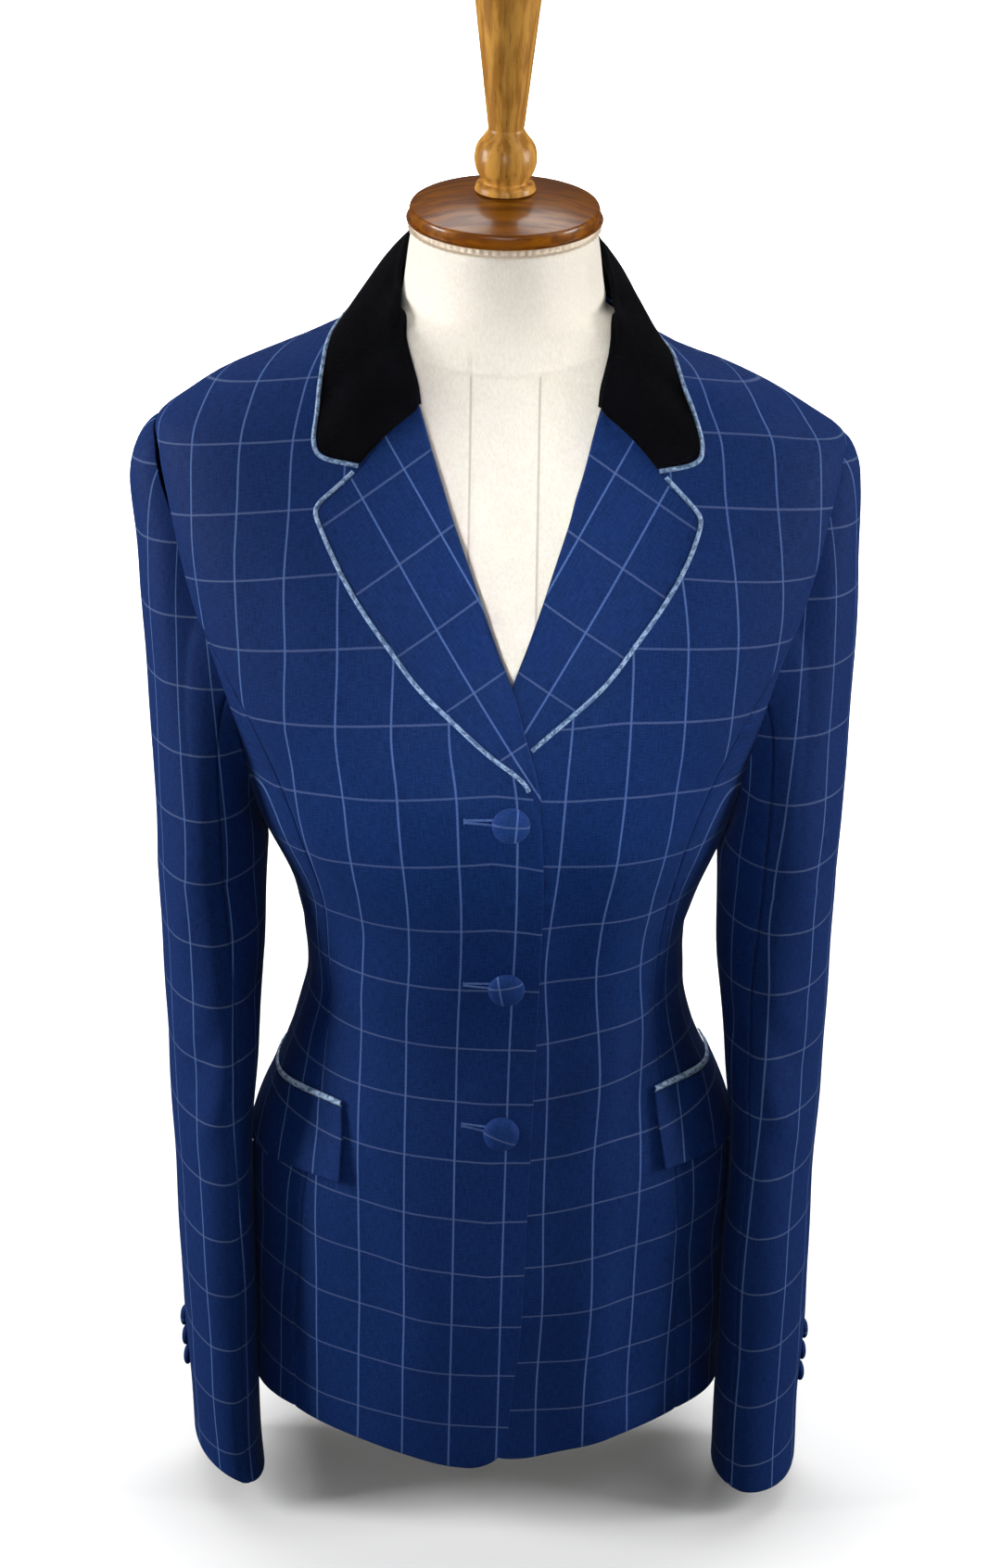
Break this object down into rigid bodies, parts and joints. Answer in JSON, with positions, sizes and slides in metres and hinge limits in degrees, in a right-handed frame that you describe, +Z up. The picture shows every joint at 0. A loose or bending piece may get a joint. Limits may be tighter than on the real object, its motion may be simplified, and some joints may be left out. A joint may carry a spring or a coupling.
{
  "type": "riding show coat on a dress form",
  "caption": "Fitted riding show coat in windowpane-check wool with velvet collar, piped lapels, flap pockets and covered buttons, worn on a limbless dress form with a wooden neck cap.",
  "frame": {"origin": "on the underside of the dress form's foot, in the middle plane of the coat under the shoulders", "axes": "+Z up, -Y out of the coat's front, +X towards the wearer's left sleeve"},
  "size_m": [0.4136, 0.2512, 0.926],
  "materials": {
    "check_cloth": "navy wool with a pale blue windowpane check, slight sheen",
    "velvet": "near-black velvet pile",
    "brocade": "pale blue figured brocade with bright flecks",
    "form_cover": "cream cotton stretched smooth",
    "wood": "brown, glossy varnish"
  },
  "bodies": {
    "root": {"front_right": "check_cloth", "front_left": "check_cloth", "side_panel_right": "check_cloth", "side_panel_left": "check_cloth", "back_right": "check_cloth", "back_left": "check_cloth", "lapel_right": "check_cloth", "lapel_left": "check_cloth", "top_sleeve_right": "check_cloth", "top_sleeve_left": "check_cloth", "under_sleeve_right": "check_cloth", "under_sleeve_left": "check_cloth", "pocket_flap_right": "check_cloth", "pocket_flap_left": "check_cloth", "front_button_1": "check_cloth", "front_button_2": "check_cloth", "front_button_3": "check_cloth", "cuff_button_right_1": "check_cloth", "cuff_button_right_2": "check_cloth", "cuff_button_right_3": "check_cloth", "cuff_button_left_1": "check_cloth", "cuff_button_left_2": "check_cloth", "cuff_button_left_3": "check_cloth", "collar": "velvet", "collar_piping": "brocade", "lapel_piping_right": "brocade", "lapel_piping_left": "brocade", "pocket_welt_right": "brocade", "pocket_welt_left": "brocade", "form_torso": "form_cover", "form_foot": "form_cover", "neck_band": "form_cover", "neck_cap": "wood", "finial": "wood"}
  },
  "joints": []
}
